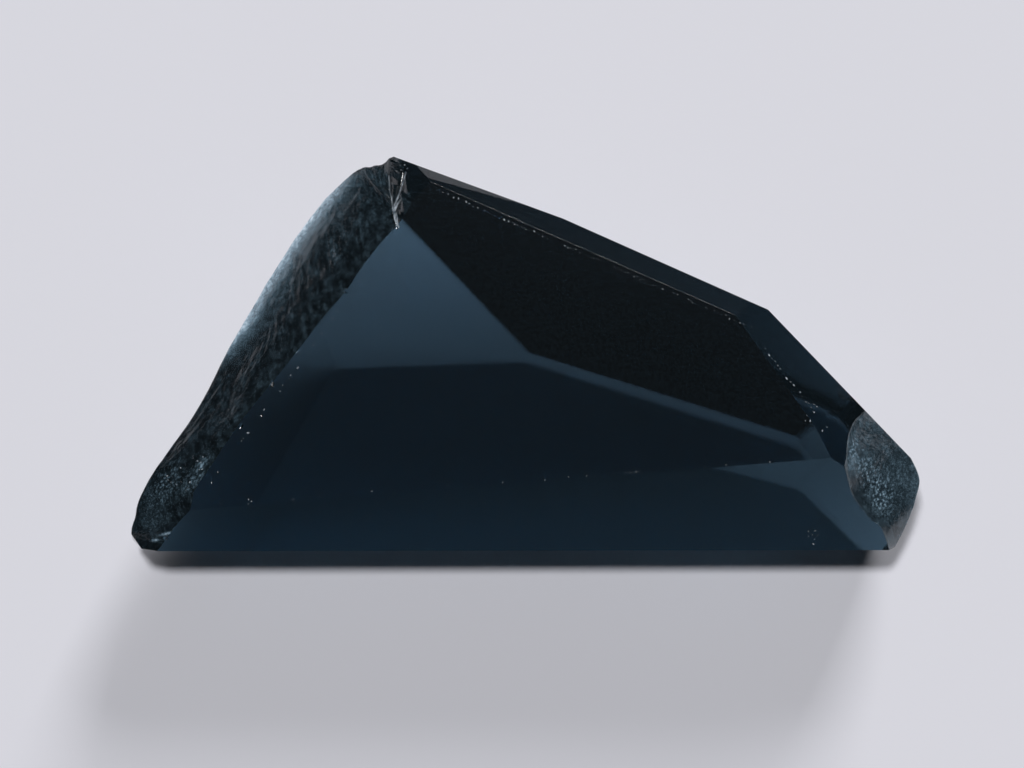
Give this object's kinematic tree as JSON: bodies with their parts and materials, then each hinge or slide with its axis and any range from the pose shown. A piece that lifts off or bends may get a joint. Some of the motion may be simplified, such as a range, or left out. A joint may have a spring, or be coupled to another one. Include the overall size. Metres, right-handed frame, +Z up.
{
  "type": "blue topaz preform",
  "caption": "Deep blue topaz preform with a flat table, lapped bevels, pavilion facets below and broken, frosted ends.",
  "frame": {"origin": "on the surface the stone lies on, under the middle of its outline", "axes": "+X along the long straight front edge, towards the frosted end; +Y from the front edge towards the apex; +Z up, out of the table side"},
  "size_m": [0.0232, 0.0116, 0.0053],
  "materials": {
    "topaz": "satin lapped faces, frosted breaks"
  },
  "bodies": {
    "root": {"topaz_preform": "topaz"}
  },
  "joints": []
}
